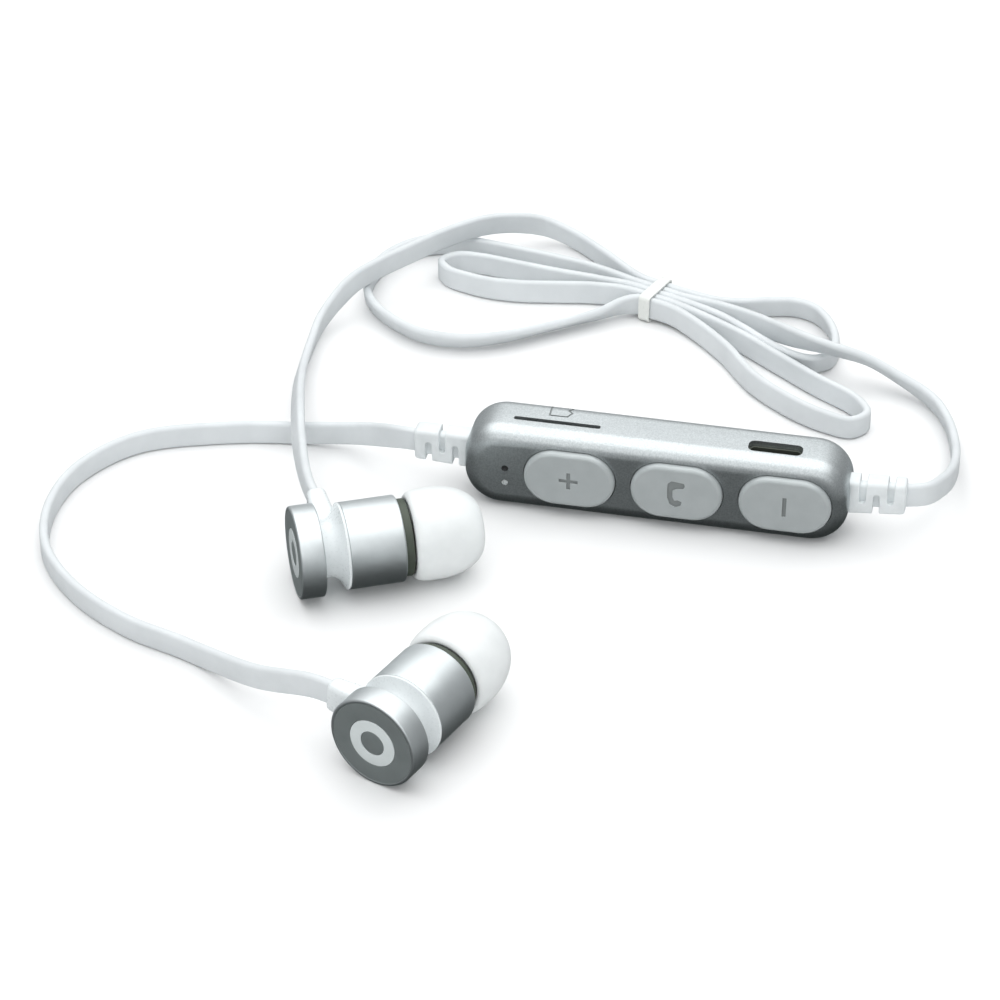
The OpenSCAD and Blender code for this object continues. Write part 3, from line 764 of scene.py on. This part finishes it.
def make_ports(finishes):
    """The micro-USB socket's metal can, and the dark gauze in the microphone's hole."""
    rim = BOX_H - USB_IN
    floor = BOX_H - USB_DEEP
    outer_w, outer_t, outer_r = USB_W - 0.1, USB_T - 0.1, USB_CORNER_R - 0.05
    inner_w, inner_t, inner_r = outer_w - 2 * USB_SHEET, outer_t - 2 * USB_SHEET, USB_CORNER_R - USB_SHEET
    outer = rounded_rect(outer_w, outer_t, outer_r, 6)
    inner = rounded_rect(inner_w, inner_t, inner_r, 6)
    rings = []
    for outline, z in ((outer, floor), (outer, rim), (inner, rim), (inner, floor + USB_SHEET)):
        rings.append([Vector((USB_X + a, SPLIT_Y + b, z)) for a, b in outline])
    verts, faces = loft(rings)
    socket = make_object("port_usb", verts, faces, finishes["port"])
    bevel(socket, 0.05)
    settle(socket, "earphones", "socket_steel", "usb_socket")
    disc = rounded_rect(2 * PINHOLE_R, 2 * PINHOLE_R, PINHOLE_R - 0.001, 6)
    depth = FRONT_Y + 0.35
    verts, faces = prism(disc, depth, depth + 0.2, PINHOLE_X, MIC_Z - MID_Z)
    gauze = make_object("microphone_gauze", verts, faces, finishes["black"])
    settle(gauze, "earphones", "black_plastic")


# ---------- Earbuds ----------

def tip_profile():
    """A closed outline of the silicone tip: sleeve, dome, rolled-in skirt and the hollow between."""
    bore, sleeve = TIP_BORE_R, TIP_BORE_R + TIP_SLEEVE_T
    inner = TIP_R - TIP_WALL
    deep = TIP_L - 2.6
    dome, crown = 3.4, 2.2
    points = [(0.3, bore), (0.3, sleeve), (deep - 1, sleeve)]
    for k in range(1, 9):
        t = math.radians(90 - 90 * k / 8)
        points.append((deep - dome + dome * math.sin(t), sleeve + (inner - sleeve) * math.cos(t)))
    points += [(1.0, inner - 0.15), (0.15, inner - 0.6), (0.0, inner - 0.35), (0.12, TIP_R - 0.6)]
    points += [(0.5, TIP_R - 0.3), (1.1, TIP_R - 0.1), (2.0, TIP_R)]
    for k in range(15):
        t = math.radians(72 * k / 14)
        points.append((dome + (TIP_L - dome) * math.sin(t), crown + (TIP_R - crown) * math.cos(t)))
    points += [(TIP_L - 0.12, bore + 0.35), (TIP_L - 0.1, bore + 0.1), (TIP_L - 0.35, bore - 0.25),
               (TIP_L - 0.8, bore - 0.5), (NOZZLE_L + 0.5, bore - 0.5), (NOZZLE_L + 0.2, bore - 0.2),
               (NOZZLE_L + 0.1, bore)]
    return [(TIP_S + s, r) for s, r in points]


def bud_piece(name, bud, shape, material, slot, body, *nodes, crease=40):
    """A piece drawn along a bud's axis, put in its place."""
    verts, faces = shape
    thing = make_object(name, place_bud(bud, verts), faces, material, crease)
    settle(thing, body, slot, *nodes)


def collar_profile():
    """The collar: a plug into the cap, a straight waist, then a quick flare to the body's width."""
    plug_s = COLLAR_S - CAP_SEAT_L
    end_s = BODY_S - 0.02
    points = [(plug_s, AXIS_R), (plug_s, COLLAR_PLUG_R), (COLLAR_S, COLLAR_PLUG_R), (COLLAR_S + 0.1, WAIST_R)]
    steps = 16
    for k in range(steps + 1):
        u = k / steps
        points.append((COLLAR_S + 0.2 + (COLLAR_L - 0.55) * u, WAIST_R + (BODY_R - 0.05 - WAIST_R) * u ** 4))
    points += [(BODY_S - 0.25, BODY_R), (BODY_S - 0.1, BODY_R), (end_s, BODY_R - 0.06)]
    points += [(end_s, COLLAR_PLUG_R), (end_s, AXIS_R)]
    return points


def stalk_mesh(bud):
    """The arm that carries the cable: flared where it leaves the collar, with a rounded end."""
    tilt = math.radians(bud[3])
    out = Vector((-math.sin(tilt), math.cos(tilt), 0))
    round_way = Vector((math.cos(tilt), math.sin(tilt), 0))
    stations = [(2.0, 1.6, 0.3), (4.0, 1.0, 0.25), (5.0, 0.6, 0.2), (6.0, 0.35, 0.1), (7.2, 0.1, -0.05),
                (STALK_L - 0.5, -0.1, -0.35), (STALK_L - 0.2, -0.22, -0.5), (STALK_L - 0.05, -0.45, -0.75),
                (STALK_L, -0.7, -1.0)]
    rings = []
    for reach, wider, thicker in stations:
        w, t = STALK_W + wider, STALK_T + thicker
        outline = rounded_rect(w, t, min(0.8, t / 2 - 0.1), 5)
        rings.append([out * reach + round_way * a + Vector((0, 0, STALK_S + b)) for a, b in outline])
    return loft(rings)


def make_bud(side, bud, finishes):
    """One earbud, from the cap's face to the tip."""
    metal = turned_finish(f"bud_metal_{side}", bud, (0.69, 0.73, 0.74), (0.42, 0.54))
    # painted shade: a darker copy of the bud's aluminium, standing in for the dark room that the cap's face
    # reflects
    dark = turned_finish(f"bud_face_{side}", bud, (0.36, 0.40, 0.40), (0.4, 0.5), 0.7)

    # cap: a rim turned from the face to the back, then the face plate set in it and the ring in that; the
    # plate and the centre take a darker copy of the bud's aluminium, a painted dark reflection
    joint, sunk, seat = 0.06, 0.03, 0.6
    face_r = CAP_R - 0.45
    rim = fillet([(0.02, face_r, 0), (0, CAP_R - 0.42, 0), (0, CAP_R, 0.28), (CAP_L, CAP_R, 0.22),
                  (CAP_L, CAP_SEAT_R, 0), (CAP_L - CAP_SEAT_L, CAP_SEAT_R, 0)])
    bud_piece(f"{side}_bud_cap", bud, lathe(rim + [(0.5, 4.2), (0.5, face_r)], closed=True),
              metal, "bud_aluminium", "earphones", f"{side}_cap")
    plate = fillet([(seat, RING_R + joint, 0), (sunk, RING_R + joint, 0.05), (sunk, CAP_R - 0.46, 0),
                    (seat, CAP_R - 0.46, 0)])
    bud_piece(f"{side}_bud_face", bud, lathe(plate, closed=True), dark, "bud_aluminium", "earphones")
    centre = fillet([(seat, AXIS_R, 0), (sunk, AXIS_R, 0), (sunk, RING_HOLE_R - joint, 0.05),
                     (seat, RING_HOLE_R - joint, 0)])
    bud_piece(f"{side}_bud_centre", bud, lathe(centre), dark, "bud_aluminium", "earphones")
    ring = fillet([(0.5, RING_HOLE_R, 0), (0.0, RING_HOLE_R, 0.06), (0.0, RING_R, 0.06), (0.5, RING_R, 0)])
    bud_piece(f"{side}_bud_ring", bud, lathe(ring, closed=True), finishes["ring"], "ring_white", "earphones",
              f"{side}_ring")

    # white collar and the arm for the cable, then the turned body
    collar = join(lathe(collar_profile()), stalk_mesh(bud))
    bud_piece(f"{side}_bud_collar", bud, collar, finishes["collar"], "collar_white", "earphones",
              f"{side}_collar")
    sleeve = fillet([(BODY_S, SPIGOT_R, 0), (BODY_S, BODY_R, 0.12), (GROOVE_S, BODY_R, 0.25),
                     (GROOVE_S, SPIGOT_R, 0)])
    bud_piece(f"{side}_bud_body", bud, lathe(sleeve, closed=True), metal, "bud_aluminium", "earphones",
              f"{side}_body")

    # dark nozzle with the barb that holds the tip
    end = NOZZLE_S + NOZZLE_L
    plug_s, barb_s = GROOVE_S - SPIGOT_L, end - BARB_BACK
    neck = fillet([(plug_s, SOUND_R, 0), (plug_s, SPIGOT_R, 0), (GROOVE_S, SPIGOT_R, 0),
                   (GROOVE_S, GROOVE_R, 0), (NOZZLE_S, GROOVE_R, 0.2), (NOZZLE_S, NOZZLE_R, 0.15),
                   (barb_s, NOZZLE_R, 0.1), (barb_s, BARB_R, 0.1), (barb_s + BARB_L, BARB_R, 0.1),
                   (end, NOZZLE_R - 0.2, 0.1), (end, SOUND_R, 0)])
    bud_piece(f"{side}_bud_nozzle", bud, lathe(neck, closed=True), finishes["nozzle"], "nozzle_olive",
              "earphones", f"{side}_nozzle")

    bud_piece(f"{side}_bud_tip", bud, lathe(tip_profile(), 128, closed=True), finishes["tip"],
              "tip_silicone", f"{side}_tip", f"{side}_ear_tip", crease=70)


# ---------- Finishes on the CAD parts that stay ----------

def finish_cad_nodes(finishes):
    """Every CAD part that isn't replaced keeps its shape and takes a finish of its own."""
    inside = {"switch": "dark", "plunger": "black", "circuit_board": "board", "bluetooth_chip": "black",
              "battery": "foil", "card_socket": "socket", "usb_tongue": "black", "microphone": "brass",
              "status_led": "led", "magnet": "nickel", "driver": "socket", "diaphragm": "film",
              "mesh": "mesh"}
    for node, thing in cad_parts.items():
        if thing.hide_render:
            continue
        for ending, finish in inside.items():
            if node.endswith(ending):
                thing.data.materials.clear()
                thing.data.materials.append(finishes[finish])


# ---------- Studio ----------

def make_floor():
    """A wide pale table that only just clears the object."""
    reach, below = 3.0, -0.00005
    mesh = bpy.data.meshes.new("floor")
    corners = [(x * reach, y * reach, below) for x, y in ((-1, -1), (1, -1), (1, 1), (-1, 1))]
    mesh.from_pydata(corners, [], [(0, 1, 2, 3)])
    n = Nodes("floor_white")
    n.tint(n.noise(20.0), (0.86, 0.86, 0.86), (0.88, 0.88, 0.88))
    n.set(roughness=0.9)
    mesh.materials.append(n.material)
    floor = bpy.data.objects.new("floor", mesh)
    bpy.context.scene.collection.objects.link(floor)
    floor.visible_glossy = False


def make_light(name, size, power, place, target=(0, 0, 0)):
    """A rectangular soft light, in metres and watts."""
    data = bpy.data.lights.new(name, "AREA")
    data.shape = "RECTANGLE"
    data.size, data.size_y = size
    data.energy = power
    light = bpy.data.objects.new(name, data)
    light.location = place
    light.rotation_euler = (Vector(target) - Vector(place)).to_track_quat("-Z", "Y").to_euler()
    bpy.context.scene.collection.objects.link(light)


def make_world():
    """A room that brightens overhead and falls away to dark well below the table's edge."""
    world = bpy.data.worlds.new("studio")
    bpy.context.scene.world = world
    world.use_nodes = True
    tree = world.node_tree
    place = tree.nodes.new("ShaderNodeTexCoord")
    split = tree.nodes.new("ShaderNodeSeparateXYZ")
    height = tree.nodes.new("ShaderNodeMapRange")
    height.inputs["From Min"].default_value = -1.0
    ramp = tree.nodes.new("ShaderNodeValToRGB")
    stops = ramp.color_ramp.elements
    low, top = stops
    low.position, low.color = 0.1, (0.08, 0.09, 0.09, 1)
    top.position, top.color = 0.87, (0.95, 0.985, 1.0, 1)
    stops.new(0.24).color = (0.17, 0.19, 0.19, 1)
    stops.new(0.325).color = (0.80, 0.83, 0.84, 1)
    stops.new(0.5).color = (0.74, 0.76, 0.77, 1)
    tree.links.new(place.outputs["Generated"], split.inputs["Vector"])
    tree.links.new(split.outputs["Z"], height.inputs["Value"])
    tree.links.new(height.outputs["Result"], ramp.inputs["Fac"])
    tree.links.new(ramp.outputs["Color"], tree.nodes["Background"].inputs["Color"])
    tree.nodes["Background"].inputs["Strength"].default_value = 0.4


def make_studio():
    """The table, the room and three soft lights: above, in front and behind."""
    make_floor()
    make_world()
    make_light("overhead", (1.1, 1.2), 6.8, (-0.05, 0.15, 0.6), (-0.05, 0.15, 0))
    make_light("front_card", (1.2, 0.4), 1.75, (0.0, -0.75, 0.45))
    make_light("back_card", (2.4, 0.6), 1.1, (0.0, 0.9, 0.6))
    bpy.context.scene.view_settings.view_transform = "Standard"


# ---------- Build ----------

def make_finishes():
    """Every finish that more than one piece or node may take, by a short name."""
    return {
        "case_front": case_finish("case_silver_front", (0.36, 0.46), 0.000003),
        "case_rear": case_finish("case_silver_rear", (0.38, 0.5), 0.000007),
        "button": button_finish(),
        "cable": cable_finish(),
        "relief": plain_finish("relief_white", (0.74, 0.775, 0.785), (0.38, 0.5), grain=4000.0),
        "collar": plain_finish("collar_white", (0.78, 0.82, 0.83), (0.25, 0.35), relief=0.000003,
                               contrast=0.03, coat_weight=0.2),
        "ring": plain_finish("ring_white", (0.72, 0.77, 0.77), (0.3, 0.4), metal=0.2, contrast=0.04),
        # painted shade: dark grey for the cut faces of the engraved signs, standing in for the shade in their
        # grooves
        "mark": plain_finish("sign_groove_shade", (0.25, 0.27, 0.27), (0.5, 0.6), metal=0.2),
        "port": plain_finish("port_dark", (0.10, 0.11, 0.09), (0.4, 0.55), metal=0.5),
        "nozzle": plain_finish("nozzle_olive", (0.06, 0.075, 0.055), (0.45, 0.55)),
        "tip": silicone_finish(),
        "tie": tie_finish(),
        "socket": plain_finish("socket_steel", (0.50, 0.50, 0.48), (0.25, 0.4), metal=1.0),
        "dark": plain_finish("dark_plastic", (0.05, 0.05, 0.05), (0.4, 0.5)),
        "black": plain_finish("black_plastic", (0.02, 0.02, 0.02), (0.35, 0.5)),
        "board": board_finish(),
        "foil": plain_finish("battery_foil", (0.6, 0.6, 0.61), (0.3, 0.45), metal=0.9, grain=1200.0,
                             relief=0.00003),
        "brass": plain_finish("microphone_brass", (0.60, 0.46, 0.22), (0.25, 0.4), metal=1.0),
        "led": plain_finish("led_lens", (0.75, 0.8, 0.8), (0.1, 0.2), transmission_weight=0.5),
        "nickel": plain_finish("magnet_nickel", (0.60, 0.60, 0.58), (0.15, 0.25), metal=1.0),
        "film": plain_finish("diaphragm_film", (0.62, 0.52, 0.28), (0.2, 0.3)),
        "mesh": plain_finish("mesh_steel", (0.30, 0.30, 0.30), (0.35, 0.5), metal=1.0, grain=8000.0,
                             relief=0.00003),
    }


make_camera()
finishes = make_finishes()
make_cables(finishes)
make_tie(finishes)
make_case(finishes)
make_buttons(finishes)
make_ports(finishes)
for side, bud in BUDS.items():
    make_bud(side, bud, finishes)
finish_cad_nodes(finishes)
make_studio()
